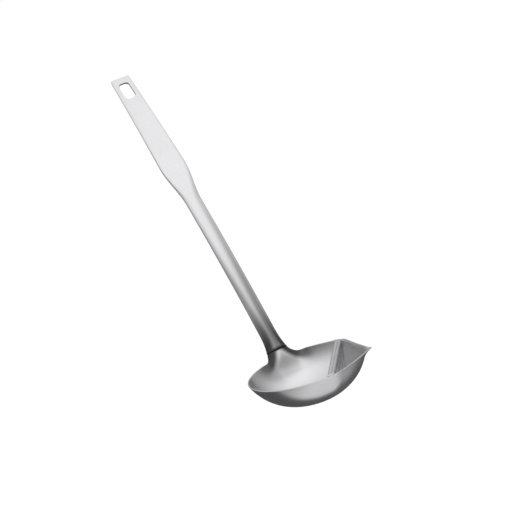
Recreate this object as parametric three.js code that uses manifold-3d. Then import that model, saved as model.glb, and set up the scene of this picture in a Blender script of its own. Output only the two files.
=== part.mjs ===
// Fat-skimming ladle. A drawn steel bowl has a pinched pouring spout and a neck root, a hemmed separator
// plate stands across the bowl in front of the spout, and a forged handle meets the neck at a seam.
// Millimetres, +Z up, rim level. The origin is the middle of the flat under the bowl, and the handle
// leans away towards +Y.

import * as THREE from 'three';
import { mergeVertices } from 'three/addons/utils/BufferGeometryUtils.js';
import Module from 'manifold-3d';

const { clamp, degToRad, smoothstep } = THREE.MathUtils;

// Bowl
const bowlRadius = 45;
const bowlDepth = 25.5;
const bowlSheet = 1.2;
const baseRadius = 8;
const wallSweep = degToRad(66);

// Spout, whose tip reaches out past the round rim
const spoutTurn = degToRad(119.5);
const spoutReach = 2.7;
const spoutSpread = degToRad(54);
const spoutCornerBlend = 1.2;
const spoutBow = 0.9;
const spoutNoseFlat = 0.8;
const spoutDip = 0.3;
const lipHeight = 5;
const beakReach = 1.2;
const beakSpread = degToRad(9);

// Rise of the rim at the spout's corner on the neck's side
const cornerRise = 0.9;
const cornerSpread = degToRad(16);

// Spout shares: where the pinch starts and ends up the wall, and then, in spreads from the tip, where the
// lip starts to fade, where it has gone and where the rim is round again
const pinchStart = 0.2;
const pinchEnd = 0.95;
const lipFadeStart = 0.3;
const lipFadeEnd = 0.5;
const spoutEnd = 1.3;

// Neck, whose seam with the handle has its middle out past the rim and above it
const neckReach = 7.6;
const neckRise = 2.1;
const neckLean = degToRad(30.95);
const neckWidth = 17.6;
const neckThickness = 10;
const neckEdge = 2.2;
const neckFlare = 10;
const neckRoot = 20;

// Powers that shape the neck's fillets, the rise of the wall into the neck, the neck's easing into the bowl
// and the level top of the rim
const filletSharpness = 3.5;
const riseSharpness = 6;
const rootSharpness = 1.5;
const rimFlatness = 8;

// Separator plate, with the inside radius of its bends and the flat stretches of its hem and lip
const separatorOut = 22.9;
const separatorSheet = 1;
const separatorBend = 0.4;
const hemFlat = 2.2;
const lipFlat = 1.6;
const hemProud = 1.2;
const passageHeight = 6.5;

// Handle, measured along its curve from the seam
const handleLength = 260.6;
const handleCurve = 1340;
const stemWidth = 12.85;
const stemThickness = 4.4;
const stemLength = 135;
const stemFlare = 20;
const shoulderLength = 35.5;
const gripWidth = 20.8;
const gripThickness = 3;
const gripEndWidth = 15.8;
const gripEndThickness = 2;
const gripCorner = 1.5;

// Powers that shape the stem's flare at the seam, its taper and the section's corners, which go from an oval
// to a flat bar
const flareSharpness = 3;
const taperSharpness = 2;
const stemSquareness = 2;
const gripSquareness = 3.6;

// Hanging slot in the grip
const slotWidth = 8.8;
const slotLength = 15.4;
const slotCorner = 3.2;
const slotMargin = 5.8;

// Seam, and a dowel that stands forward of the seam's middle
const seamGroove = 0.9;
const seamGrooveDepth = 1;
const dowelRadius = 1.25;
const dowelForward = 1;
const dowelInNeck = 4;
const dowelInHandle = 8;

// Clearance between pieces that are welded, brazed or pressed together
const clearance = 0.3;

// Fineness of the faceted surfaces
const wallRows = 13;
const rowGathering = 1.5;
const edgeSteps = 24;
const neckSteps = 22;
const sideSteps = 12;
const tipSteps = 8;
const backSteps = 26;
const sectionPoints = 20;
const flareRings = 6;
const stemRings = 5;
const shoulderRings = 8;
const gripRings = 5;
const cornerRings = 4;
const dowelSegments = 16;
const bendSegments = 4;
const slotSegments = 5;
const slopeStep = 1e-3;

// Room by which a cutter passes what it cuts
const cutterRoom = 8;

const steelBowl = new THREE.MeshStandardMaterial({ color: '#c4c5c7', roughness: 0.34, metalness: 1 });
const steelPlate = new THREE.MeshStandardMaterial({ color: '#cdced0', roughness: 0.3, metalness: 1 });
const steelHandle = new THREE.MeshStandardMaterial({ color: '#c8c9cb', roughness: 0.38, metalness: 1 });
const steelDowel = new THREE.MeshStandardMaterial({ color: '#a9abae', roughness: 0.45, metalness: 1 });

const wasm = await Module();
wasm.setup();

// Solids and meshes

function toSolid(geometry) {
  const bare = geometry.clone();
  bare.deleteAttribute('normal');
  bare.deleteAttribute('uv');
  const merged = mergeVertices(bare);
  return new wasm.Manifold(new wasm.Mesh({
    numProp: 3,
    vertProperties: new Float32Array(merged.attributes.position.array),
    triVerts: new Uint32Array(merged.index.array),
  }));
}

function toGeometry(solid) {
  const { vertProperties, triVerts } = solid.getMesh();
  const geometry = new THREE.BufferGeometry();
  geometry.setAttribute('position', new THREE.BufferAttribute(vertProperties, 3));
  geometry.setIndex(new THREE.BufferAttribute(triVerts, 1));
  geometry.computeVertexNormals();
  return geometry;
}

function namedMesh(name, geometry, material) {
  const mesh = new THREE.Mesh(geometry, material);
  mesh.name = name;
  return mesh;
}

// A closed skin through rings of equal point count, with a fan over the first and the last ring
function loft(rings) {
  const count = rings[0].length;
  const points = rings.flat();
  const index = [];
  for (let row = 0; row + 1 < rings.length; row += 1) {
    for (let k = 0; k < count; k += 1) {
      const a = row * count + k;
      const b = row * count + (k + 1) % count;
      index.push(a, b, b + count, a, b + count, a + count);
    }
  }
  const last = (rings.length - 1) * count;
  const first = points.length;
  points.push(middleOf(rings[0]), middleOf(rings[rings.length - 1]));
  for (let k = 0; k < count; k += 1) {
    const next = (k + 1) % count;
    index.push(first, next, k, first + 1, last + k, last + next);
  }
  const geometry = new THREE.BufferGeometry().setFromPoints(points);
  geometry.setIndex(index);
  geometry.computeVertexNormals();
  return geometry;
}

function middleOf(ring) {
  const sum = new THREE.Vector3();
  ring.forEach((point) => sum.add(point));
  return sum.divideScalar(ring.length);
}

// Bowl surface. A place on it is a turn about the axis, clockwise from the neck, and a climb
// from the edge of the flat base, 0, to the free edge, 1.

const neckHalf = neckWidth / 2;
const filletReach = neckHalf + neckFlare;
const seamCentre = new THREE.Vector3(0, bowlRadius + neckReach, bowlDepth + neckRise);
const neckUp = new THREE.Vector3(0, Math.sin(neckLean), Math.cos(neckLean));
const neckBack = new THREE.Vector3(0, Math.cos(neckLean), -Math.sin(neckLean));
const sweepHeight = bowlDepth / (1 - Math.cos(wallSweep));
const sweepRadius = (bowlRadius - baseRadius) / Math.sin(wallSweep);
const rimSlope = sweepRadius / (sweepHeight * Math.tan(wallSweep));
const tipOut = bowlRadius + spoutReach;
const cornerTurn = spoutTurn - spoutSpread;

// Where the wall, carried on past the rim, meets the plane of the neck's seam
const seamSlope = Math.tan(neckLean);
const seamOverRim = (neckRise + neckReach * seamSlope) / (1 + rimSlope * seamSlope);
const neckRadius = bowlRadius + rimSlope * seamOverRim;

function smoothMin(a, b, blend) {
  const mix = Math.max(blend - Math.abs(a - b), 0) / blend;
  return Math.min(a, b) - mix * mix * blend / 4;
}

// Distance of the spout's straight side from the bowl's axis, at an angle from the tip
function spoutSide(angle) {
  const cornerOut = bowlRadius * Math.cos(spoutSpread);
  const cornerAcross = bowlRadius * Math.sin(spoutSpread);
  const across = cornerAcross * Math.cos(angle) + (tipOut - cornerOut) * Math.sin(angle);
  const bow = spoutBow * Math.sin(Math.PI * Math.min(angle / spoutSpread, 1));
  return cornerAcross * tipOut / across + bow;
}

function spoutForm(turn) {
  const angle = Math.abs(Math.atan2(Math.sin(turn - spoutTurn), Math.cos(turn - spoutTurn)));
  const along = angle / spoutSpread;
  const rise = cornerRise * Math.exp(-(((turn - cornerTurn) / cornerSpread) ** 2));
  if (along > spoutEnd) return { nose: bowlRadius, lip: 0, dip: -rise };
  const inside = Math.max(1 - along * along, 0);
  const side = spoutSide(angle);
  const nose = smoothMin(bowlRadius - spoutNoseFlat * inside * inside, side, spoutCornerBlend);
  const lip = (side - nose) * (1 - smoothstep(along, lipFadeStart, lipFadeEnd));
  const beak = beakReach * (1 - smoothstep(angle, 0, beakSpread));
  return {
    nose,
    lip: lip + beak,
    dip: spoutDip * Math.sin(Math.PI * Math.min(along, 1)) - rise,
  };
}

// Height of the free edge above the rim: the fillets that lead up to the seam, and the neck's tongue past it
function tongueRise(across) {
  const reach = Math.max(filletReach - Math.abs(across), 0) / neckFlare;
  if (reach < 1) return seamOverRim * reach ** filletSharpness;
  const share = 1 - Math.abs(across) / neckHalf;
  const steepness = filletSharpness * neckHalf / neckFlare;
  return seamOverRim * (1 + steepness * (share - share * share / 2));
}

function wallPoint(turn, climb) {
  const sweep = climb * wallSweep;
  const { nose, lip, dip } = spoutForm(turn);
  const height = sweepHeight * (1 - Math.cos(sweep));
  const round = baseRadius + sweepRadius * Math.sin(sweep);
  const pinch = smoothstep(climb, pinchStart, pinchEnd);
  const lipShare = Math.max(1 - (bowlDepth - height) / lipHeight, 0) ** 2;
  const tongue = Math.cos(turn) > 0 ? tongueRise(neckRadius * Math.sin(turn)) : 0;
  const rise = (tongue - dip) * climb ** riseSharpness;
  const radius = round * (1 + (nose / bowlRadius - 1) * pinch) + lip * lipShare + rise * rimSlope;
  return new THREE.Vector3(radius * Math.sin(turn), radius * Math.cos(turn), height + rise);
}

// Outward direction of the wall, laid level at the free edge so that the rim's top is flat
function wallNormal(turn, climb) {
  const low = Math.max(climb - slopeStep, 0);
  const high = Math.min(climb + slopeStep, 1);
  const along = wallPoint(turn + slopeStep, climb).sub(wallPoint(turn - slopeStep, climb));
  const up = wallPoint(turn, high).sub(wallPoint(turn, low));
  const normal = up.cross(along);
  normal.z *= 1 - climb ** rimFlatness;
  return normal.normalize();
}

// The neck's free edge on one side, from the seam down the fillet: offsets across and above the rim
const neckEdgePoints = Array.from({ length: edgeSteps + 1 }, (_, k) => {
  const across = neckHalf + neckFlare * k / edgeSteps;
  return new THREE.Vector3(across, tongueRise(across), 0);
});

// Distance of a place on the neck, across and above the rim, from that edge
function edgeDistance(across, height) {
  const place = new THREE.Vector3(Math.abs(across), Math.min(height, seamOverRim), 0);
  const nearest = new THREE.Vector3();
  const distances = neckEdgePoints.slice(1).map((end, k) => (
    new THREE.Line3(neckEdgePoints[k], end).closestPointToPoint(place, true, nearest).distanceTo(place)
  ));
  return Math.min(neckHalf, ...distances);
}

// Half thickness of the neck at a distance from its free edge
function neckOval(distance) {
  const share = 1 - distance / neckHalf;
  return Math.max(neckThickness / 2 * Math.sqrt(1 - share * share), neckEdge / 2);
}

// Draws a point of the wall's inside, -1, or outside, 1, on to the neck's front or back face
function drawToNeck(point, side) {
  if (point.y < 0) return point;
  const arm = point.clone().sub(seamCentre);
  const across = smoothstep(filletReach - Math.abs(point.x), 0, neckFlare);
  const along = clamp(1 + arm.dot(neckUp) / neckRoot, 0, 1) ** rootSharpness;
  const half = neckOval(edgeDistance(point.x, point.z - bowlDepth));
  const shift = side * half - arm.dot(neckBack);
  return point.addScaledVector(neckBack, shift * across * along);
}

function innerPoint(turn, climb, inset) {
  const point = wallPoint(turn, climb).addScaledVector(wallNormal(turn, climb), -bowlSheet);
  drawToNeck(point, -1);
  return point.addScaledVector(wallNormal(turn, climb), -inset);
}

function outerPoint(turn, climb) {
  return drawToNeck(wallPoint(turn, climb), 1);
}

// Turns round the bowl, closer together at the neck and at the spout's tip
function bowlTurns() {
  const neckZone = Math.asin(filletReach / neckRadius);
  const tipZone = spoutSpread * lipFadeStart;
  const full = 2 * Math.PI;
  const stretches = [
    [-neckZone, neckZone, neckSteps],
    [neckZone, spoutTurn - tipZone, sideSteps],
    [spoutTurn - tipZone, spoutTurn + tipZone, tipSteps],
    [spoutTurn + tipZone, full - neckZone, backSteps],
  ];
  return stretches.flatMap(([from, to, steps]) => (
    Array.from({ length: steps }, (_, k) => from + (to - from) * k / steps)
  ));
}

// Rings of the wall from the base to the free edge, closer together towards the edge
function wallRings(pointAt) {
  const turns = bowlTurns();
  return Array.from({ length: wallRows + 1 }, (_, row) => {
    const climb = 1 - (1 - row / wallRows) ** rowGathering;
    return turns.map((turn) => pointAt(turn, climb));
  });
}

function bowlShell() {
  const inside = wallRings((turn, climb) => innerPoint(turn, climb, 0));
  const outside = wallRings(outerPoint);
  return toSolid(loft([...inside, ...outside.reverse()]));
}

// The space inside the bowl, drawn in by the clearance and carried up past the rim
function bowlCavity() {
  const wall = wallRings((turn, climb) => innerPoint(turn, climb, clearance));
  const lidHeight = bowlDepth + seamOverRim + 2 * cutterRoom;
  const lid = wall[wallRows].map((point) => point.clone().setZ(lidHeight));
  return toSolid(loft([lid, ...wall.reverse()]));
}

// Neck frame: origin at the middle of the seam, +Z up the handle, +Y to its back
const neckFrame = new THREE.Group();
neckFrame.position.copy(seamCentre);
neckFrame.rotation.x = -neckLean;
neckFrame.updateMatrixWorld();

function aboveSeam() {
  const reach = 2 * neckWidth;
  const block = new THREE.BoxGeometry(reach, reach, reach);
  block.translate(0, 0, reach / 2);
  return toSolid(block.applyMatrix4(neckFrame.matrixWorld));
}

// A round bar across the seam
function seamPin(radius, below, above) {
  const pin = new THREE.CylinderGeometry(radius, radius, below + above, dowelSegments);
  pin.rotateX(Math.PI / 2);
  return pin.translate(0, -dowelForward, (above - below) / 2);
}

function dowelSocket() {
  return seamPin(dowelRadius + clearance, dowelInNeck + clearance, dowelInHandle + clearance);
}

function bowlGeometry() {
  const socket = toSolid(dowelSocket().applyMatrix4(neckFrame.matrixWorld));
  return toGeometry(bowlShell().subtract(aboveSeam()).subtract(socket));
}

// Separator plate: a web, a bend at its top, a hem towards the bowl and a short lip hanging from the hem

function floorUnderSeparator() {
  const sweep = Math.asin((separatorOut - baseRadius) / sweepRadius);
  return sweepHeight * (1 - Math.cos(sweep)) + bowlSheet;
}

function separatorSection() {
  const foot = floorUnderSeparator() + passageHeight;
  const outerBend = separatorBend + separatorSheet;
  const bendHeight = bowlDepth + hemProud - outerBend;
  const webBend = separatorOut - outerBend;
  const lipBend = webBend - hemFlat;
  const section = new THREE.Shape();
  section.moveTo(separatorOut, foot);
  section.absarc(webBend, bendHeight, outerBend, 0, Math.PI / 2);
  section.absarc(lipBend, bendHeight, outerBend, Math.PI / 2, Math.PI);
  section.lineTo(lipBend - outerBend, bendHeight - lipFlat);
  section.lineTo(lipBend - separatorBend, bendHeight - lipFlat);
  section.absarc(lipBend, bendHeight, separatorBend, Math.PI, Math.PI / 2, true);
  section.absarc(webBend, bendHeight, separatorBend, Math.PI / 2, 0, true);
  section.lineTo(separatorOut - separatorSheet, foot);
  return section;
}

function separatorGeometry() {
  const span = 2 * tipOut;
  const strip = new THREE.ExtrudeGeometry(separatorSection(), {
    depth: span, bevelEnabled: false, curveSegments: bendSegments,
  });
  strip.translate(0, 0, -span / 2);
  strip.rotateX(Math.PI / 2);
  strip.rotateZ(Math.PI / 2 - spoutTurn);
  return toGeometry(toSolid(strip).intersect(bowlCavity()));
}

// Handle

const shoulderStart = stemLength;
const shoulderEnd = stemLength + shoulderLength;

function mix(from, to, share) {
  return from + (to - from) * share;
}

function handleWidth(distance) {
  const grip = mix(gripWidth, gripEndWidth, (distance - shoulderEnd) / (handleLength - shoulderEnd));
  const body = mix(stemWidth, Math.min(grip, gripWidth), smoothstep(distance, shoulderStart, shoulderEnd));
  const flare = Math.max(1 - distance / stemFlare, 0) ** flareSharpness;
  const fromEnd = Math.min(handleLength - distance, gripCorner);
  const corner = gripCorner - Math.sqrt(gripCorner ** 2 - (gripCorner - fromEnd) ** 2);
  return mix(body, neckWidth, flare) - 2 * corner;
}

function handleThickness(distance) {
  if (distance < shoulderStart) {
    return mix(stemThickness, neckThickness, (1 - distance / shoulderStart) ** taperSharpness);
  }
  if (distance < shoulderEnd) {
    return mix(stemThickness, gripThickness, smoothstep(distance, shoulderStart, shoulderEnd));
  }
  return mix(gripThickness, gripEndThickness, (distance - shoulderEnd) / (handleLength - shoulderEnd));
}

// How square the section is: an oval along the stem, squarer on the grip
function handleSquareness(distance) {
  return mix(stemSquareness, gripSquareness, smoothstep(distance, shoulderStart, shoulderEnd));
}

// Place on the handle, from a distance along it, an offset across it and an offset to its back
function handlePoint(distance, across, back) {
  const bend = distance / handleCurve;
  const y = handleCurve * (1 - Math.cos(bend)) + back * Math.cos(bend);
  const z = handleCurve * Math.sin(bend) - back * Math.sin(bend);
  return new THREE.Vector3(across, y, z);
}

function handleRing(distance, inset) {
  const halfWidth = handleWidth(distance) / 2 - inset;
  const halfThickness = handleThickness(distance) / 2 - inset;
  const power = 2 / handleSquareness(distance);
  return Array.from({ length: sectionPoints }, (_, k) => {
    const angle = 2 * Math.PI * (k + 0.5) / sectionPoints;
    const across = Math.sign(Math.cos(angle)) * Math.abs(Math.cos(angle)) ** power;
    const back = Math.sign(Math.sin(angle)) * Math.abs(Math.sin(angle)) ** power;
    return handlePoint(distance, halfWidth * across, halfThickness * back);
  });
}

function spread(from, to, steps) {
  return Array.from({ length: steps }, (_, k) => mix(from, to, k / steps));
}

function handleSolid() {
  const distances = [
    ...spread(seamGroove, stemFlare, flareRings),
    ...spread(stemFlare, shoulderStart, stemRings),
    ...spread(shoulderStart, shoulderEnd, shoulderRings),
    ...spread(shoulderEnd, handleLength - gripCorner, gripRings),
  ];
  const cornerTurns = spread(0, Math.PI / 2, cornerRings).concat(Math.PI / 2);
  cornerTurns.forEach((turn) => distances.push(handleLength - gripCorner * (1 - Math.sin(turn))));
  const spigot = [handleRing(clearance, seamGrooveDepth), handleRing(seamGroove, seamGrooveDepth)];
  return toSolid(loft([...spigot, ...distances.map((distance) => handleRing(distance, 0))]));
}

function roundedSlot() {
  const corner = Math.min(slotCorner, slotWidth / 2 - clearance);
  const halfWidth = slotWidth / 2 - corner;
  const halfLength = slotLength / 2 - corner;
  const outline = new THREE.Shape();
  outline.absarc(halfWidth, halfLength, corner, 0, Math.PI / 2);
  outline.absarc(-halfWidth, halfLength, corner, Math.PI / 2, Math.PI);
  outline.absarc(-halfWidth, -halfLength, corner, Math.PI, Math.PI * 1.5);
  outline.absarc(halfWidth, -halfLength, corner, Math.PI * 1.5, Math.PI * 2);
  return outline;
}

function slotCutter() {
  const depth = gripThickness + 2 * cutterRoom;
  const cutter = new THREE.ExtrudeGeometry(roundedSlot(), {
    depth, bevelEnabled: false, curveSegments: slotSegments,
  });
  const distance = handleLength - slotMargin - slotLength / 2;
  const middle = handlePoint(distance, 0, 0);
  cutter.translate(0, 0, -depth / 2);
  cutter.rotateX(Math.PI / 2 - distance / handleCurve);
  return toSolid(cutter.translate(middle.x, middle.y, middle.z));
}

function handleGeometry() {
  return toGeometry(handleSolid().subtract(slotCutter()).subtract(toSolid(dowelSocket())));
}

// The ladle

const ladle = new THREE.Group();
ladle.add(namedMesh('bowl_shell', bowlGeometry(), steelBowl));
ladle.add(namedMesh('separator_plate', separatorGeometry(), steelPlate));
ladle.add(neckFrame);
neckFrame.add(namedMesh('handle_bar', handleGeometry(), steelHandle));
neckFrame.add(namedMesh('joint_dowel', seamPin(dowelRadius, dowelInNeck, dowelInHandle), steelDowel));

export default ladle;
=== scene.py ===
"""Looks of the fat-skimming ladle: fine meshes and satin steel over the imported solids, in a plain studio."""

import math

import bmesh
import bpy
from mathutils import Matrix, Vector
from mathutils.geometry import intersect_point_line


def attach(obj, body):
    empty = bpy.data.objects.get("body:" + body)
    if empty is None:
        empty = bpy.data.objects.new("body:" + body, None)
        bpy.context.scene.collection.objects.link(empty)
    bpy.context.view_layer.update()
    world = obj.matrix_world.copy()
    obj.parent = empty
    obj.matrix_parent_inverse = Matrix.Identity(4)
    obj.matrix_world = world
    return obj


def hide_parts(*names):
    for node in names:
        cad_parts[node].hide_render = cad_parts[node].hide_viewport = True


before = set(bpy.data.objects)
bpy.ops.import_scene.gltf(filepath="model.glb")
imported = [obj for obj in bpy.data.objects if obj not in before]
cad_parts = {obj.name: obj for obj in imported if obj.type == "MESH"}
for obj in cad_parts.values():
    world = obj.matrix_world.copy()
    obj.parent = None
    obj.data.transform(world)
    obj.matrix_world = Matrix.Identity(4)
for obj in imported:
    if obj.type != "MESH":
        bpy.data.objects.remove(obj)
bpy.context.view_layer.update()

MM = 0.001
FULL_TURN = 2 * math.pi
QUARTER_TURN = math.pi / 2

# Bowl, with the rounding of the rim's inner edge and how far its outer edge is ground off
BOWL_RADIUS = 45 * MM
BOWL_DEPTH = 25.5 * MM
BOWL_SHEET = 1.2 * MM
BASE_RADIUS = 8 * MM
WALL_SWEEP = math.radians(66)
RIM_ROUND = 0.35 * MM
RIM_GROUND_ACROSS = 0.8 * MM
RIM_GROUND_DOWN = 0.55 * MM

# Spout, whose tip reaches out past the round rim
SPOUT_TURN = math.radians(119.5)
SPOUT_REACH = 2.7 * MM
SPOUT_SPREAD = math.radians(54)
SPOUT_CORNER_BLEND = 1.2 * MM
SPOUT_BOW = 0.9 * MM
SPOUT_NOSE_FLAT = 0.8 * MM
SPOUT_DIP = 0.3 * MM
LIP_HEIGHT = 5 * MM
TIP_ROUND = math.radians(0.8)
BEAK_REACH = 1.2 * MM
BEAK_SPREAD = math.radians(9)

# Rise of the rim at the spout's corner on the neck's side
CORNER_RISE = 0.9 * MM
CORNER_SPREAD = math.radians(16)

# Spout shares: where the pinch starts and ends up the wall, and then, in spreads from the tip, where the
# lip starts to fade, where it has gone and where the rim is round again
PINCH_START = 0.2
PINCH_END = 0.95
LIP_FADE_START = 0.3
LIP_FADE_END = 0.5
SPOUT_END = 1.3

# Neck, whose seam with the handle has its middle out past the rim and above it
NECK_REACH = 7.6 * MM
NECK_RISE = 2.1 * MM
NECK_LEAN = math.radians(30.95)
NECK_WIDTH = 17.6 * MM
NECK_THICKNESS = 10 * MM
NECK_EDGE = 2.2 * MM
NECK_FLARE = 10 * MM
NECK_ROOT = 20 * MM

# Powers that shape the neck's fillets, the rise of the wall into the neck, the level top of the rim and the
# neck's easing into the bowl
FILLET_SHARPNESS = 3.5
RISE_SHARPNESS = 6
RIM_FLATNESS = 8
ROOT_SHARPNESS = 1.5

# Separator plate, with the inside radius of its bends, the flat stretches of its hem and lip and the depth of
# the valley along the hem
SEPARATOR_OUT = 22.9 * MM
SEPARATOR_SHEET = 1 * MM
SEPARATOR_BEND = 0.4 * MM
HEM_FLAT = 2.2 * MM
LIP_FLAT = 1.6 * MM
HEM_PROUD = 1.2 * MM
HEM_VALLEY = 0.4 * MM
PASSAGE_HEIGHT = 6.5 * MM

# Height above the seam of the space that the plate is cut to
CAVITY_RISE = 16 * MM

# Handle, measured along its curve from the seam
HANDLE_LENGTH = 260.6 * MM
HANDLE_CURVE = 1340 * MM
STEM_WIDTH = 12.85 * MM
STEM_THICKNESS = 4.4 * MM
STEM_LENGTH = 135 * MM
STEM_FLARE = 20 * MM
SHOULDER_LENGTH = 35.5 * MM
GRIP_WIDTH = 20.8 * MM
GRIP_THICKNESS = 3 * MM
GRIP_END_WIDTH = 15.8 * MM
GRIP_END_THICKNESS = 2 * MM
GRIP_CORNER = 1.5 * MM
GRIP_EDGE = 0.35 * MM

# Powers that shape the stem's flare at the seam, its taper and the section's corners, which go from an oval
# to a flat bar
FLARE_SHARPNESS = 3
TAPER_SHARPNESS = 2
STEM_SQUARENESS = 2
GRIP_SQUARENESS = 3.6

# Hanging slot, seam and the gap between the pieces
SLOT_WIDTH = 8.8 * MM
SLOT_LENGTH = 15.4 * MM
SLOT_CORNER = 3.2 * MM
SLOT_MARGIN = 5.8 * MM
SLOT_EDGE = 0.3 * MM
SEAM_GROOVE = 0.9 * MM
SEAM_GROOVE_DEPTH = 1 * MM
SEAM_EDGE = 0.15 * MM
CLEARANCE = 0.3 * MM

# Fineness of the meshes, the step that slopes are measured over and the angle from which an edge is sharp
WALL_ROWS = 60
ROUND_STEPS = 6
NECK_STEPS = 96
SIDE_STEPS = 60
TIP_STEPS = 56
BACK_STEPS = 120
SECTION_POINTS = 96
SECTION_SAMPLES = 480
STEM_RING_GAP = 2 * MM
BEND_STEPS = 8
SLOT_STEPS = 12
EDGE_STEPS = 24
SLOPE_STEP = 1e-3
SHARP_ANGLE = math.radians(35)

# Camera, fitted to the photograph: its angles, its distance from the rim's centre, its focal length in
# pixels of the square image and the pixel that the rim's centre falls on
IMAGE_PIXELS = 512
SENSOR_WIDTH = 36
CAMERA_AZIMUTH = math.radians(-19.2)
CAMERA_ELEVATION = math.radians(13.55)
CAMERA_ROLL = math.radians(-18.33)
CAMERA_DISTANCE = 1503 * MM
FOCAL_PIXELS = 2098
RIM_CENTRE_PIXEL = (307.2, 365.1)

# Worked out from the sizes above
NECK_HALF = NECK_WIDTH / 2
FILLET_REACH = NECK_HALF + NECK_FLARE
SEAM_CENTRE = Vector((0, BOWL_RADIUS + NECK_REACH, BOWL_DEPTH + NECK_RISE))
NECK_UP = Vector((0, math.sin(NECK_LEAN), math.cos(NECK_LEAN)))
NECK_BACK = Vector((0, math.cos(NECK_LEAN), -math.sin(NECK_LEAN)))
NECK_FRAME = Matrix.Translation(SEAM_CENTRE) @ Matrix.Rotation(-NECK_LEAN, 4, "X")
SWEEP_HEIGHT = BOWL_DEPTH / (1 - math.cos(WALL_SWEEP))
SWEEP_RADIUS = (BOWL_RADIUS - BASE_RADIUS) / math.sin(WALL_SWEEP)
RIM_SLOPE = SWEEP_RADIUS / (SWEEP_HEIGHT * math.tan(WALL_SWEEP))
TIP_OUT = BOWL_RADIUS + SPOUT_REACH
SEAM_SLOPE = math.tan(NECK_LEAN)
SEAM_OVER_RIM = (NECK_RISE + NECK_REACH * SEAM_SLOPE) / (1 + RIM_SLOPE * SEAM_SLOPE)
NECK_RADIUS = BOWL_RADIUS + RIM_SLOPE * SEAM_OVER_RIM
CORNER_TURN = SPOUT_TURN - SPOUT_SPREAD
SHOULDER_START = STEM_LENGTH
SHOULDER_END = STEM_LENGTH + SHOULDER_LENGTH
RIM_CENTRE = Vector((0, 0, BOWL_DEPTH))


def mix(start, end, share):
    return start + (end - start) * share


def smoothstep(value, low, high):
    share = min(max((value - low) / (high - low), 0), 1)
    return share * share * (3 - 2 * share)


def smooth_min(a, b, blend):
    share = max(blend - abs(a - b), 0) / blend
    return min(a, b) - share * share * blend / 4


def spread(start, end, steps):
    """Evenly spaced values from a start, without the end."""
    return [mix(start, end, step / steps) for step in range(steps)]


# Bowl surface. A place on it is a turn about the axis, clockwise from the neck, and a climb
# from the edge of the flat base, 0, to the free edge, 1.

def spout_side(angle):
    """Radius of the spout's bowed side, at an angle from the tip."""
    corner_out = BOWL_RADIUS * math.cos(SPOUT_SPREAD)
    corner_across = BOWL_RADIUS * math.sin(SPOUT_SPREAD)
    across = corner_across * math.cos(angle) + (TIP_OUT - corner_out) * math.sin(angle)
    bow = SPOUT_BOW * math.sin(math.pi * min(angle / SPOUT_SPREAD, 1))
    return corner_across * TIP_OUT / across + bow


def spout_form(turn):
    """Radius of the pinched rim, reach of the lip past it and dip of the rim, at a turn."""
    off_tip = math.atan2(math.sin(turn - SPOUT_TURN), math.cos(turn - SPOUT_TURN))
    angle = math.hypot(off_tip, TIP_ROUND) - TIP_ROUND
    along = angle / SPOUT_SPREAD
    rise = CORNER_RISE * math.exp(-((turn - CORNER_TURN) / CORNER_SPREAD) ** 2)
    if along > SPOUT_END:
        return BOWL_RADIUS, 0, -rise
    inside = max(1 - along * along, 0)
    side = spout_side(angle)
    nose = smooth_min(BOWL_RADIUS - SPOUT_NOSE_FLAT * inside * inside, side, SPOUT_CORNER_BLEND)
    lip = (side - nose) * (1 - smoothstep(along, LIP_FADE_START, LIP_FADE_END))
    lip += BEAK_REACH * (1 - smoothstep(angle, 0, BEAK_SPREAD))
    dip = SPOUT_DIP * math.sin(math.pi * min(along, 1)) - rise
    return nose, lip, dip


def tongue_rise(across):
    """Height of the free edge above the rim, at the neck."""
    reach = max(FILLET_REACH - abs(across), 0) / NECK_FLARE
    if reach < 1:
        return SEAM_OVER_RIM * reach ** FILLET_SHARPNESS
    share = 1 - abs(across) / NECK_HALF
    steepness = FILLET_SHARPNESS * NECK_HALF / NECK_FLARE
    return SEAM_OVER_RIM * (1 + steepness * (share - share * share / 2))


def wall_point(turn, climb):
    sweep = climb * WALL_SWEEP
    nose, lip, dip = spout_form(turn)
    height = SWEEP_HEIGHT * (1 - math.cos(sweep))
    round_radius = BASE_RADIUS + SWEEP_RADIUS * math.sin(sweep)
    pinch = smoothstep(climb, PINCH_START, PINCH_END)
    lip_share = max(1 - (BOWL_DEPTH - height) / LIP_HEIGHT, 0) ** 2
    tongue = tongue_rise(NECK_RADIUS * math.sin(turn)) if math.cos(turn) > 0 else 0
    rise = (tongue - dip) * climb ** RISE_SHARPNESS
    radius = round_radius * (1 + (nose / BOWL_RADIUS - 1) * pinch) + lip * lip_share + rise * RIM_SLOPE
    return Vector((radius * math.sin(turn), radius * math.cos(turn), height + rise))


def wall_normal(turn, climb):
    """Outward direction of the wall, laid level at the free edge so that the rim's top is flat."""
    low = max(climb - SLOPE_STEP, 0)
    high = min(climb + SLOPE_STEP, 1)
    along = wall_point(turn + SLOPE_STEP, climb) - wall_point(turn - SLOPE_STEP, climb)
    up = wall_point(turn, high) - wall_point(turn, low)
    normal = up.cross(along)
    normal.z *= 1 - climb ** RIM_FLATNESS
    return normal.normalized()


def neck_edge_points():
    """The neck's free edge on one side, from the seam down the fillet: offsets across and above the rim."""
    points = []
    for step in range(EDGE_STEPS + 1):
        across = mix(NECK_HALF, FILLET_REACH, step / EDGE_STEPS)
        points.append(Vector((across, tongue_rise(across))))
    return points


NECK_EDGE_POINTS = neck_edge_points()


def edge_distance(across, height):
    """Distance of a place on the neck, across and above the rim, from the neck's free edge."""
    place = Vector((abs(across), min(height, SEAM_OVER_RIM)))
    nearest = NECK_HALF
    for start, end in zip(NECK_EDGE_POINTS, NECK_EDGE_POINTS[1:]):
        share = intersect_point_line(place, start, end)[1]
        nearest = min(nearest, (place - start.lerp(end, min(max(share, 0), 1))).length)
    return nearest


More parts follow.
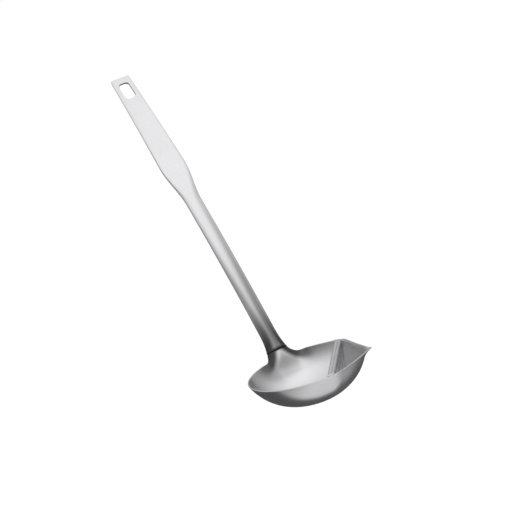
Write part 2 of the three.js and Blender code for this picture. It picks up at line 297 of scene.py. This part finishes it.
def neck_oval(distance):
    """Half thickness of the neck at a distance from its free edge."""
    share = 1 - distance / NECK_HALF
    return max(NECK_THICKNESS / 2 * math.sqrt(1 - share * share), NECK_EDGE / 2)


def draw_to_neck(point, side):
    """Draws a point of the wall's inside, -1, or outside, 1, on to the neck's front or back face."""
    if point.y < 0:
        return point
    arm = point - SEAM_CENTRE
    across = smoothstep(FILLET_REACH - abs(point.x), 0, NECK_FLARE)
    along = min(max(1 + arm.dot(NECK_UP) / NECK_ROOT, 0), 1) ** ROOT_SHARPNESS
    if across * along == 0:
        return point
    half = neck_oval(edge_distance(point.x, point.z - BOWL_DEPTH))
    return point + NECK_BACK * (side * half - arm.dot(NECK_BACK)) * across * along


def inner_point(turn, climb):
    return draw_to_neck(wall_point(turn, climb) - wall_normal(turn, climb) * BOWL_SHEET, -1)


def outer_point(turn, climb):
    return draw_to_neck(wall_point(turn, climb), 1)


def bowl_turns():
    neck_zone = math.asin(FILLET_REACH / NECK_RADIUS)
    tip_zone = SPOUT_SPREAD * LIP_FADE_START
    turns = spread(-neck_zone, neck_zone, NECK_STEPS)
    turns += spread(neck_zone, SPOUT_TURN - tip_zone, SIDE_STEPS)
    turns += spread(SPOUT_TURN - tip_zone, SPOUT_TURN + tip_zone, TIP_STEPS)
    turns += spread(SPOUT_TURN + tip_zone, FULL_TURN - neck_zone, BACK_STEPS)
    return turns


def rounded_corner(start, corner, end):
    """Points of a curve that rounds a corner, without its start and with its end."""
    points = []
    for step in range(1, ROUND_STEPS + 1):
        share = step / ROUND_STEPS
        points.append(start.lerp(corner, share).lerp(corner.lerp(end, share), share))
    return points


def bowl_profile(turn):
    """The wall's section at a turn, from the inside of the base over the rim to the outside of the base."""
    wall_length = math.hypot(BOWL_RADIUS - BASE_RADIUS, BOWL_DEPTH)
    inside_share = (1 - RIM_ROUND / wall_length) / WALL_ROWS
    outside_share = (1 - RIM_GROUND_DOWN / wall_length) / WALL_ROWS
    inside = [inner_point(turn, row * inside_share) for row in range(WALL_ROWS + 1)]
    outside = [outer_point(turn, row * outside_share) for row in range(WALL_ROWS + 1)]
    inner_edge = inner_point(turn, 1)
    outer_edge = outer_point(turn, 1)
    across = (outer_edge - inner_edge).normalized()
    inner_top = inner_edge + across * RIM_ROUND
    outer_top = outer_edge - across * RIM_GROUND_ACROSS
    rim = rounded_corner(inside[-1], inner_edge, inner_top)
    rim.append(outer_top)
    rim += rounded_corner(outer_top, outer_edge, outside[-1])
    return inside + rim + outside[-2::-1]


# Meshes

def loft(bm, rings):
    """A skin through rings of equal point count, with a face over the first and the last ring."""
    rows = [[bm.verts.new(point) for point in ring] for ring in rings]
    for lower, upper in zip(rows, rows[1:]):
        for k in range(len(lower)):
            following = (k + 1) % len(lower)
            bm.faces.new((lower[k], lower[following], upper[following], upper[k]))
    bm.faces.new(rows[0])
    bm.faces.new(rows[-1])


def finish_mesh(bm, name):
    bmesh.ops.recalc_face_normals(bm, faces=bm.faces)
    mesh = bpy.data.meshes.new(name)
    bm.to_mesh(mesh)
    bm.free()
    piece = bpy.data.objects.new(name, mesh)
    bpy.context.scene.collection.objects.link(piece)
    return piece


def smooth(piece):
    piece.data.shade_smooth()
    piece.data.set_sharp_from_angle(angle=SHARP_ANGLE)


def combine(piece, other, operation):
    """Cuts a piece with another mesh, or to the space that both fill, and deletes the other."""
    cut = piece.modifiers.new("cut", "BOOLEAN")
    cut.operation = operation
    cut.solver = "EXACT"
    cut.object = other
    depsgraph = bpy.context.evaluated_depsgraph_get()
    result = bpy.data.meshes.new_from_object(piece.evaluated_get(depsgraph))
    piece.modifiers.clear()
    piece.data = result
    bpy.data.objects.remove(other)


def wall_rings():
    profiles = [bowl_profile(turn) for turn in bowl_turns()]
    return [list(ring) for ring in zip(*profiles)]


def build_bowl():
    bm = bmesh.new()
    loft(bm, wall_rings())
    everything = bm.verts[:] + bm.edges[:] + bm.faces[:]
    cut = bmesh.ops.bisect_plane(
        bm, geom=everything, plane_co=SEAM_CENTRE, plane_no=NECK_UP, clear_outer=True)
    seam_edges = [part for part in cut["geom_cut"] if isinstance(part, bmesh.types.BMEdge)]
    bmesh.ops.edgeloop_fill(bm, edges=seam_edges)
    return finish_mesh(bm, "bowl")


def bowl_cavity():
    """The space inside the bowl, carried up past the rim."""
    turns = bowl_turns()
    climbs = [row / WALL_ROWS for row in range(WALL_ROWS + 1)]
    rings = [[inner_point(turn, climb) for turn in turns] for climb in climbs]
    lid_height = SEAM_CENTRE.z + CAVITY_RISE
    rings.append([Vector((point.x, point.y, lid_height)) for point in rings[-1]])
    bm = bmesh.new()
    loft(bm, rings)
    return finish_mesh(bm, "cavity")


# Separator plate, drawn as a section across its web: distance from the bowl's axis, and height

def arc(centre_out, centre_height, radius, start, end):
    points = []
    for step in range(BEND_STEPS + 1):
        angle = mix(start, end, step / BEND_STEPS)
        points.append((centre_out + radius * math.cos(angle), centre_height + radius * math.sin(angle)))
    return points


def separator_section():
    floor_sweep = math.asin((SEPARATOR_OUT - BASE_RADIUS) / SWEEP_RADIUS)
    foot = SWEEP_HEIGHT * (1 - math.cos(floor_sweep)) + BOWL_SHEET + PASSAGE_HEIGHT
    outer_bend = SEPARATOR_BEND + SEPARATOR_SHEET
    bend_height = BOWL_DEPTH + HEM_PROUD - outer_bend
    web_bend = SEPARATOR_OUT - outer_bend
    lip_bend = web_bend - HEM_FLAT
    section = [(SEPARATOR_OUT, foot)]
    section += arc(web_bend, bend_height, outer_bend, 0, QUARTER_TURN)
    section.append((web_bend - HEM_FLAT / 2, bend_height + outer_bend - HEM_VALLEY))
    section += arc(lip_bend, bend_height, outer_bend, QUARTER_TURN, math.pi)
    section.append((lip_bend - outer_bend, bend_height - LIP_FLAT))
    section.append((lip_bend - SEPARATOR_BEND, bend_height - LIP_FLAT))
    section += arc(lip_bend, bend_height, SEPARATOR_BEND, math.pi, QUARTER_TURN)
    section += arc(web_bend, bend_height, SEPARATOR_BEND, QUARTER_TURN, 0)
    section.append((SEPARATOR_OUT - SEPARATOR_SHEET, foot))
    return section


def build_separator():
    out = Vector((math.sin(SPOUT_TURN), math.cos(SPOUT_TURN), 0))
    across = Vector((math.cos(SPOUT_TURN), -math.sin(SPOUT_TURN), 0))
    rings = []
    for side in (-TIP_OUT, TIP_OUT):
        end = across * side
        rings.append([end + out * reach + Vector((0, 0, height)) for reach, height in separator_section()])
    bm = bmesh.new()
    loft(bm, rings)
    plate = finish_mesh(bm, "separator")
    combine(plate, bowl_cavity(), "INTERSECT")
    return plate


# Handle, in the neck's frame: origin at the middle of the seam, +Z up the handle, +Y to its back

def handle_width(distance):
    grip_share = (distance - SHOULDER_END) / (HANDLE_LENGTH - SHOULDER_END)
    grip = min(mix(GRIP_WIDTH, GRIP_END_WIDTH, grip_share), GRIP_WIDTH)
    body = mix(STEM_WIDTH, grip, smoothstep(distance, SHOULDER_START, SHOULDER_END))
    flare = max(1 - distance / STEM_FLARE, 0) ** FLARE_SHARPNESS
    from_end = min(HANDLE_LENGTH - distance, GRIP_CORNER)
    corner = GRIP_CORNER - math.sqrt(GRIP_CORNER ** 2 - (GRIP_CORNER - from_end) ** 2)
    return mix(body, NECK_WIDTH, flare) - 2 * corner


def handle_thickness(distance):
    if distance < SHOULDER_START:
        return mix(STEM_THICKNESS, NECK_THICKNESS, (1 - distance / SHOULDER_START) ** TAPER_SHARPNESS)
    if distance < SHOULDER_END:
        return mix(STEM_THICKNESS, GRIP_THICKNESS, smoothstep(distance, SHOULDER_START, SHOULDER_END))
    grip_share = (distance - SHOULDER_END) / (HANDLE_LENGTH - SHOULDER_END)
    return mix(GRIP_THICKNESS, GRIP_END_THICKNESS, grip_share)


def handle_point(distance, across, back):
    bend = distance / HANDLE_CURVE
    y = HANDLE_CURVE * (1 - math.cos(bend)) + back * math.cos(bend)
    z = HANDLE_CURVE * math.sin(bend) - back * math.sin(bend)
    return Vector((across, y, z))


def signed_power(value, power):
    return math.copysign(abs(value) ** power, value)


def section_outline(half_width, half_thickness, squareness):
    """Evenly spaced points round an oval that squareness draws towards a flat bar."""
    power = 2 / squareness
    samples = []
    for k in range(SECTION_SAMPLES + 1):
        angle = FULL_TURN * k / SECTION_SAMPLES
        across = half_width * signed_power(math.cos(angle), power)
        back = half_thickness * signed_power(math.sin(angle), power)
        samples.append((across, back))
    lengths = [0]
    for here, there in zip(samples, samples[1:]):
        lengths.append(lengths[-1] + math.dist(here, there))
    outline = []
    k = 0
    for step in range(SECTION_POINTS):
        wanted = lengths[-1] * step / SECTION_POINTS
        while lengths[k + 1] < wanted:
            k += 1
        share = (wanted - lengths[k]) / (lengths[k + 1] - lengths[k])
        outline.append(tuple(mix(a, b, share) for a, b in zip(samples[k], samples[k + 1])))
    return outline


def handle_ring(distance, inset):
    half_width = handle_width(distance) / 2 - inset
    half_thickness = handle_thickness(distance) / 2 - inset
    squareness = mix(STEM_SQUARENESS, GRIP_SQUARENESS, smoothstep(distance, SHOULDER_START, SHOULDER_END))
    outline = section_outline(half_width, half_thickness, squareness)
    return [NECK_FRAME @ handle_point(distance, across, back) for across, back in outline]


def handle_rings():
    rings = [handle_ring(CLEARANCE, SEAM_GROOVE_DEPTH), handle_ring(SEAM_GROOVE, SEAM_GROOVE_DEPTH)]
    rings.append(handle_ring(SEAM_GROOVE, SEAM_EDGE))
    body_start = SEAM_GROOVE + SEAM_EDGE
    body_end = HANDLE_LENGTH - GRIP_CORNER
    body_steps = round((body_end - body_start) / STEM_RING_GAP)
    rings += [handle_ring(distance, 0) for distance in spread(body_start, body_end, body_steps)]
    edge_start = HANDLE_LENGTH - GRIP_EDGE
    rings += [handle_ring(distance, 0) for distance in spread(body_end, edge_start, ROUND_STEPS)]
    for step in range(ROUND_STEPS + 1):
        angle = QUARTER_TURN * step / ROUND_STEPS
        rings.append(handle_ring(edge_start + GRIP_EDGE * math.sin(angle), GRIP_EDGE * (1 - math.cos(angle))))
    return rings


def slot_outline(grow):
    """The rounded slot's outline, grown by an amount: offsets across and along the grip."""
    half_width = SLOT_WIDTH / 2 - SLOT_CORNER
    half_length = SLOT_LENGTH / 2 - SLOT_CORNER
    corners = [(1, 1), (-1, 1), (-1, -1), (1, -1)]
    points = []
    for number, (side, end) in enumerate(corners):
        for step in range(SLOT_STEPS + 1):
            angle = QUARTER_TURN * (number + step / SLOT_STEPS)
            across = side * half_width + (SLOT_CORNER + grow) * math.cos(angle)
            along = end * half_length + (SLOT_CORNER + grow) * math.sin(angle)
            points.append((across, along))
    return points


def slot_cutter():
    """A prism through the grip that flares at both faces, so that the slot's edges are chamfered."""
    middle = HANDLE_LENGTH - SLOT_MARGIN - SLOT_LENGTH / 2
    half = handle_thickness(middle) / 2
    levels = [(half + GRIP_THICKNESS, SLOT_EDGE), (half, SLOT_EDGE), (half - SLOT_EDGE, 0)]
    levels += [(-back, grow) for back, grow in reversed(levels)]
    turn = Matrix.Rotation(-middle / HANDLE_CURVE, 4, "X")
    place = NECK_FRAME @ Matrix.Translation(handle_point(middle, 0, 0)) @ turn
    rings = []
    for back, grow in levels:
        rings.append([place @ Vector((across, back, along)) for across, along in slot_outline(grow)])
    bm = bmesh.new()
    loft(bm, rings)
    return finish_mesh(bm, "slot_cutter")


def build_handle():
    bm = bmesh.new()
    loft(bm, handle_rings())
    handle = finish_mesh(bm, "handle")
    combine(handle, slot_cutter(), "DIFFERENCE")
    return handle


# Materials: each steel's colour and roughness

BOWL_COLOUR = (0.61, 0.61, 0.62)
BOWL_ROUGHNESS = 0.24
PLATE_COLOUR = (0.63, 0.63, 0.64)
PLATE_ROUGHNESS = 0.26
HANDLE_COLOUR = (0.61, 0.61, 0.62)
HANDLE_ROUGHNESS = 0.18
DOWEL_COLOUR = (0.4, 0.41, 0.42)
DOWEL_ROUGHNESS = 0.45

# Brushed grain and soft clouds: their scales per metre and their detail, the grain's share, the part of the
# noise's range that is used, what it does to roughness and colour, and the grain's bump
GRAIN_ACROSS = 5200
GRAIN_ALONG = 90
CLOUD_SCALE = 45
GRAIN_DETAIL = 3
CLOUD_DETAIL = 2
GRAIN_SHARE = 0.6
WEAR_LOW = 0.3
WEAR_HIGH = 0.7
WEAR_ROUGHNESS = 0.04
WEAR_DARK = 0.94
WEAR_LIGHT = 1.03
GRAIN_BUMP = 0.12
GRAIN_DEPTH = 0.02 * MM

# Painted shade near the seam and along the edges near it, standing in for the dark reflections there and the
# shade
# in the groove: its share of the steel's colour, and then, for the handle and the neck, where it starts to
# fade and ends away from the seam, and how far it reaches in from the edges, fully and at all
PAINTED_SHADE_SHARE = 0.08
HANDLE_PAINTED_SHADE_START = 2 * MM
HANDLE_PAINTED_SHADE_END = 42 * MM
HANDLE_PAINTED_SHADE_EDGE = 2.5 * MM
HANDLE_PAINTED_SHADE_REACH = 7.5 * MM
NECK_PAINTED_SHADE_START = 14 * MM
NECK_PAINTED_SHADE_END = 31 * MM
NECK_PAINTED_SHADE_EDGE = 4.4 * MM
NECK_PAINTED_SHADE_REACH = 8.4 * MM


class Nodes:
    """Adds nodes to a tree and links them."""

    def __init__(self, tree):
        self.tree = tree

    def add(self, kind, **inputs):
        node = self.tree.nodes.new(kind)
        for name, value in inputs.items():
            self.set(node, name, value)
        return node

    def set(self, node, name, value):
        """Links an input, given by its name or number, to a socket, or sets it to a value."""
        socket = node.inputs[name]
        if isinstance(value, bpy.types.NodeSocket):
            self.tree.links.new(value, socket)
        else:
            socket.default_value = value

    def math(self, operation, first, second=0.0):
        node = self.tree.nodes.new("ShaderNodeMath")
        node.operation = operation
        self.set(node, 0, first)
        self.set(node, 1, second)
        return node.outputs[0]


def straight_grain(nodes, position):
    """Coordinates that stretch noise into lines along the handle."""
    mapping = nodes.add("ShaderNodeMapping", Vector=position)
    mapping.inputs["Rotation"].default_value = (NECK_LEAN, 0, 0)
    mapping.inputs["Scale"].default_value = (GRAIN_ACROSS, GRAIN_ACROSS, GRAIN_ALONG)
    return mapping.outputs["Vector"]


def round_grain(nodes, position):
    """Coordinates that stretch noise into lines round the bowl's axis."""
    parts = nodes.add("ShaderNodeSeparateXYZ", Vector=position)
    x, y, z = parts.outputs
    squares = nodes.math("ADD", nodes.math("MULTIPLY", x, x), nodes.math("MULTIPLY", y, y))
    radius = nodes.math("SQRT", squares)
    across = nodes.math("MULTIPLY", nodes.math("ADD", radius, z), GRAIN_ACROSS)
    turn_scale = GRAIN_ALONG * BOWL_RADIUS
    east = nodes.math("MULTIPLY", nodes.math("DIVIDE", x, radius), turn_scale)
    north = nodes.math("MULTIPLY", nodes.math("DIVIDE", y, radius), turn_scale)
    grain = nodes.add("ShaderNodeCombineXYZ", X=east, Y=north, Z=across)
    return grain.outputs["Vector"]


def painted_seam_shade(point):
    """How much painted shade a point has, from 0 to 1: shade painted in place of the dark reflections near the
    seam and the shade in its groove. It fades away from the seam, and in from the edges.
    """
    arm = point - SEAM_CENTRE
    up = arm.dot(NECK_UP)
    on_neck = up < 0
    if on_neck:
        fade = 1 - smoothstep(arm.length, NECK_PAINTED_SHADE_START, NECK_PAINTED_SHADE_END)
    else:
        fade = 1 - smoothstep(arm.length, HANDLE_PAINTED_SHADE_START, HANDLE_PAINTED_SHADE_END)
    in_groove = abs(up - SEAM_GROOVE / 2) < SEAM_GROOVE
    if fade == 0 or in_groove:
        return fade
    if on_neck:
        inward = edge_distance(point.x, point.z - BOWL_DEPTH)
        return fade * (1 - smoothstep(inward, NECK_PAINTED_SHADE_EDGE, NECK_PAINTED_SHADE_REACH))
    inward = handle_width(up) / 2 - abs(point.x)
    return fade * (1 - smoothstep(inward, HANDLE_PAINTED_SHADE_EDGE, HANDLE_PAINTED_SHADE_REACH))


def with_painted_shade(nodes, colour):
    """A colour, darkened by the painted shade that the mesh holds."""
    painted_shade = nodes.add("ShaderNodeAttribute")
    painted_shade.attribute_name = "painted_shade"
    share = nodes.add("ShaderNodeMapRange", Value=painted_shade.outputs["Fac"])
    share.inputs["To Min"].default_value = 1
    share.inputs["To Max"].default_value = PAINTED_SHADE_SHARE
    product = nodes.add("ShaderNodeVectorMath")
    product.operation = "SCALE"
    nodes.set(product, 0, colour)
    nodes.set(product, "Scale", share.outputs["Result"])
    return product.outputs["Vector"]


def satin_steel(name, colour, roughness, grain_coordinates):
    """Brushed steel: fine grain in the bump, and grain with soft clouds in the roughness and the colour."""
    material = bpy.data.materials.new(name)
    material.use_nodes = True
    nodes = Nodes(material.node_tree)
    shader = material.node_tree.nodes["Principled BSDF"]
    shader.inputs["Metallic"].default_value = 1
    position = nodes.add("ShaderNodeTexCoord").outputs["Object"]
    lines = grain_coordinates(nodes, position)
    grain = nodes.add("ShaderNodeTexNoise", Vector=lines, Scale=1, Detail=GRAIN_DETAIL)
    cloud = nodes.add("ShaderNodeTexNoise", Vector=position, Scale=CLOUD_SCALE, Detail=CLOUD_DETAIL)
    grain_part = nodes.math("MULTIPLY", grain.outputs["Fac"], GRAIN_SHARE)
    cloud_part = nodes.math("MULTIPLY", cloud.outputs["Fac"], 1 - GRAIN_SHARE)
    wear = nodes.math("ADD", grain_part, cloud_part)
    rough = nodes.add("ShaderNodeMapRange", Value=wear)
    rough.inputs["From Min"].default_value = WEAR_LOW
    rough.inputs["From Max"].default_value = WEAR_HIGH
    rough.inputs["To Min"].default_value = roughness - WEAR_ROUGHNESS
    rough.inputs["To Max"].default_value = roughness + WEAR_ROUGHNESS
    nodes.set(shader, "Roughness", rough.outputs["Result"])
    ramp = nodes.add("ShaderNodeValToRGB", Fac=wear)
    dark, light = ramp.color_ramp.elements
    dark.position = WEAR_LOW
    dark.color = [WEAR_DARK * part for part in colour] + [1]
    light.position = WEAR_HIGH
    light.color = [WEAR_LIGHT * part for part in colour] + [1]
    # The steel's colour is darkened by painted shade near the seam, which the mesh holds
    nodes.set(shader, "Base Color", with_painted_shade(nodes, ramp.outputs["Color"]))
    bump = nodes.add("ShaderNodeBump", Height=grain.outputs["Fac"], Strength=GRAIN_BUMP, Distance=GRAIN_DEPTH)
    nodes.set(shader, "Normal", bump.outputs["Normal"])
    return material


def dress(piece, node, material):
    """A piece that stands for a CAD node, with its finish."""
    smooth(piece)
    # Painted shade near the seam, stored on the mesh so that the material darkens its colour there
    painted_shade = piece.data.attributes.new("painted_shade", "FLOAT", "POINT")
    for vertex, cell in zip(piece.data.vertices, painted_shade.data):
        cell.value = painted_seam_shade(vertex.co)
    piece.data.materials.clear()
    piece.data.materials.append(material)
    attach(piece, "root")
    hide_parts(node)


def build_ladle():
    bowl_steel = satin_steel("bowl_satin_steel", BOWL_COLOUR, BOWL_ROUGHNESS, round_grain)
    plate_steel = satin_steel("plate_satin_steel", PLATE_COLOUR, PLATE_ROUGHNESS, straight_grain)
    handle_steel = satin_steel("handle_satin_steel", HANDLE_COLOUR, HANDLE_ROUGHNESS, straight_grain)
    dowel_steel = satin_steel("dowel_drawn_steel", DOWEL_COLOUR, DOWEL_ROUGHNESS, straight_grain)
    dress(build_bowl(), "bowl_shell", bowl_steel)
    dress(build_separator(), "separator_plate", plate_steel)
    dress(build_handle(), "handle_bar", handle_steel)
    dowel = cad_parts["joint_dowel"]
    dowel.data.materials.clear()
    dowel.data.materials.append(dowel_steel)


# Studio, in metres: its middle, the floor's drop below the ladle, its reach, grey and glow, and the softbox's
# radiance, size, height over the middle and distance behind it

STUDIO_MIDDLE = Vector((0, 0, 60 * MM))
FLOOR_DROP = 0.3
FLOOR_REACH = 12
FLOOR_GREY = 0.9
FLOOR_GLOW = 0.12
KEY_RADIANCE = 0.15
KEY_SIZE = 1.1
KEY_HEIGHT = 0.9
KEY_BACK = 0.1

# Dome that reflections see in place of the backdrop: dark in a band in front, light above and at its foot.
# For each azimuth, in degrees, its stops are elevations in degrees and radiances.
DOME_RADIUS = 0.6
DOME_FLOOR = -15
DOME_TOP = 90
DOME_STEP = 3
DOME_BACK = [(0, 0.25), (12, 0.32), (28, 0.9), (56, 0.95), (80, 1.25)]
DOME_STOPS = [
    (-180, DOME_BACK),
    (-150, [(0, 0.35), (20, 0.45), (40, 0.7), (56, 0.95), (80, 1.2)]),
    (-100, [(-15, 0.7), (6, 0.45), (24, 0.38), (36, 0.6), (46, 0.95), (64, 1.15), (80, 1.2)]),
    (-45, [(-15, 0.8), (8, 0.6), (28, 0.12), (40, 0.25), (48, 0.45), (54, 0.7), (62, 1.05), (72, 1.3)]),
    (0, [(-15, 0.9), (18, 1), (32, 0.8), (40, 0.1), (47, 0.12), (52, 0.45), (56, 0.85), (62, 1.2),
         (72, 1.35)]),
    (35, [(-15, 0.9), (18, 1.3), (32, 1.1), (40, 0.2), (47, 0.1), (52, 0.45), (58, 1), (66, 1.35)]),
    (75, [(-15, 0.8), (4, 0.3), (16, 0.15), (32, 0.2), (48, 0.65), (64, 1.35)]),
    (105, [(-15, 0.8), (0, 0.45), (16, 0.55), (32, 0.9), (48, 1.2), (64, 1.35)]),
    (150, [(0, 0.45), (12, 0.55), (28, 0.95), (64, 1.15), (80, 1.25)]),
    (180, DOME_BACK),
]

# Sheet under the ladle that reflections see in place of the floor: light in front, and dark behind and at the
# sides. It has places across, and rows of a place along the ladle and the radiances at the places across.
SHEET_DROP = 0.25
SHEET_ACROSS = (-0.8, -0.2, -0.05, 0.1, 0.4, 0.8)
SHEET_DARK = (0.1, 0.1, 0.1, 0.1, 0.1, 0.1)
SHEET_ROWS = [
    (-0.4, (0.5, 0.7, 1, 1, 0.45, 0.3)),
    (0.03, (0.3, 0.5, 0.9, 0.85, 0.3, 0.2)),
    (0.07, SHEET_DARK),
    (1.3, SHEET_DARK),
]


def panel_material():
    """Light of the brightness that each panel's mesh holds."""
    material = bpy.data.materials.new("studio_panel")
    material.use_nodes = True
    tree = material.node_tree
    tree.nodes.remove(tree.nodes["Principled BSDF"])
    nodes = Nodes(tree)
    brightness = nodes.add("ShaderNodeAttribute")
    brightness.attribute_name = "radiance"
    light = nodes.add("ShaderNodeEmission", Strength=brightness.outputs["Fac"])
    nodes.set(tree.nodes["Material Output"], "Surface", light.outputs["Emission"])
    return material


def studio_panel(name, rows, material):
    """A sheet through rows of places, each with a radiance. Only reflections see it."""
    bm = bmesh.new()
    layer = bm.verts.layers.float.new("radiance")
    sheet = []
    for row in rows:
        verts = []
        for place, radiance in row:
            vert = bm.verts.new(place)
            vert[layer] = radiance
            verts.append(vert)
        sheet.append(verts)
    for lower, upper in zip(sheet, sheet[1:]):
        for k in range(len(lower) - 1):
            bm.faces.new((lower[k], lower[k + 1], upper[k + 1], upper[k]))
    panel = finish_mesh(bm, name)
    panel.data.materials.append(material)
    panel.visible_camera = False
    panel.visible_diffuse = False
    panel.visible_shadow = False


def studio_point(azimuth, elevation, distance):
    """A place in the studio, from an azimuth in degrees, 0 in front and + to the right, and an elevation."""
    flat = distance * math.cos(math.radians(elevation))
    turn = math.radians(azimuth)
    height = distance * math.sin(math.radians(elevation))
    return STUDIO_MIDDLE + Vector((flat * math.sin(turn), -flat * math.cos(turn), height))


def through_stops(stops, place):
    """The value at a place on a line through stops, each a place and a value."""
    for (low, start), (high, end) in zip(stops, stops[1:]):
        if place < high:
            return mix(start, end, max(place - low, 0) / (high - low))
    return stops[-1][1]


def dome_radiance(azimuth, elevation):
    """The dome's radiance, from its stops up and then round."""
    around = [(place, through_stops(stops, elevation)) for place, stops in DOME_STOPS]
    return through_stops(around, azimuth)


def build_dome(material):
    rows = []
    for elevation in range(DOME_FLOOR, DOME_TOP + DOME_STEP, DOME_STEP):
        row = []
        for azimuth in range(-180, 180 + DOME_STEP, DOME_STEP):
            place = studio_point(azimuth, elevation, DOME_RADIUS)
            row.append((place, dome_radiance(azimuth, elevation)))
        rows.append(row)
    studio_panel("dome", rows, material)


def build_sheet(material):
    rows = []
    for along, radiances in SHEET_ROWS:
        places = [Vector((across, along, -SHEET_DROP)) for across in SHEET_ACROSS]
        rows.append(list(zip(places, radiances)))
    studio_panel("sheet_below", rows, material)


def build_floor():
    """Pale paper that glows a little to the camera and in reflections, and lights nothing by that."""
    bm = bmesh.new()
    bmesh.ops.create_grid(bm, x_segments=1, y_segments=1, size=FLOOR_REACH)
    floor = finish_mesh(bm, "floor")
    floor.location.z = -FLOOR_DROP
    material = bpy.data.materials.new("floor_paper")
    material.use_nodes = True
    shader = material.node_tree.nodes["Principled BSDF"]
    shader.inputs["Base Color"].default_value = (FLOOR_GREY, FLOOR_GREY, FLOOR_GREY, 1)
    shader.inputs["Roughness"].default_value = 1
    shader.inputs["Specular IOR Level"].default_value = 0
    shader.inputs["Emission Color"].default_value = (1, 1, 1, 1)
    nodes = Nodes(material.node_tree)
    ray = nodes.add("ShaderNodeLightPath")
    seen = nodes.math("MAXIMUM", ray.outputs["Is Camera Ray"], ray.outputs["Is Glossy Ray"])
    seen = nodes.math("MAXIMUM", seen, ray.outputs["Is Transmission Ray"])
    nodes.set(shader, "Emission Strength", nodes.math("MULTIPLY", seen, FLOOR_GLOW))
    floor.data.materials.append(material)


def build_world():
    world = bpy.data.worlds.new("studio")
    world.use_nodes = True
    backdrop = world.node_tree.nodes["Background"]
    backdrop.inputs["Color"].default_value = (1, 1, 1, 1)
    backdrop.inputs["Strength"].default_value = 1
    bpy.context.scene.world = world


def build_key():
    """A large square softbox overhead."""
    data = bpy.data.lights.new("softbox_top", "AREA")
    data.shape = "SQUARE"
    data.size = KEY_SIZE
    data.energy = KEY_RADIANCE * math.pi * KEY_SIZE ** 2
    key = bpy.data.objects.new("softbox_top", data)
    key.location = STUDIO_MIDDLE + Vector((0, KEY_BACK, KEY_HEIGHT))
    key.visible_camera = False
    bpy.context.scene.collection.objects.link(key)


def build_lights():
    build_key()
    panel = panel_material()
    build_dome(panel)
    build_sheet(panel)


def build_camera():
    """The fitted camera, moved sideways so that the rim's centre falls on its pixel."""
    azimuth = CAMERA_AZIMUTH
    elevation = CAMERA_ELEVATION
    back = Vector((math.sin(azimuth) * math.cos(elevation), -math.cos(azimuth) * math.cos(elevation),
                   math.sin(elevation)))
    level = Vector((math.cos(azimuth), math.sin(azimuth), 0))
    upright = back.cross(level)
    right = level * math.cos(CAMERA_ROLL) + upright * math.sin(CAMERA_ROLL)
    up = upright * math.cos(CAMERA_ROLL) - level * math.sin(CAMERA_ROLL)
    pixel_size = CAMERA_DISTANCE / FOCAL_PIXELS
    off_right = (RIM_CENTRE_PIXEL[0] - IMAGE_PIXELS / 2) * pixel_size
    off_down = (RIM_CENTRE_PIXEL[1] - IMAGE_PIXELS / 2) * pixel_size
    place = RIM_CENTRE + back * CAMERA_DISTANCE - right * off_right + up * off_down
    data = bpy.data.cameras.new("camera")
    data.sensor_width = SENSOR_WIDTH
    data.lens = FOCAL_PIXELS / IMAGE_PIXELS * SENSOR_WIDTH
    camera = bpy.data.objects.new("camera", data)
    camera.matrix_world = Matrix.Translation(place) @ Matrix((right, up, back)).transposed().to_4x4()
    bpy.context.scene.collection.objects.link(camera)
    bpy.context.scene.camera = camera


bpy.context.scene.view_settings.view_transform = "Standard"
build_camera()
build_world()
build_floor()
build_lights()
build_ladle()
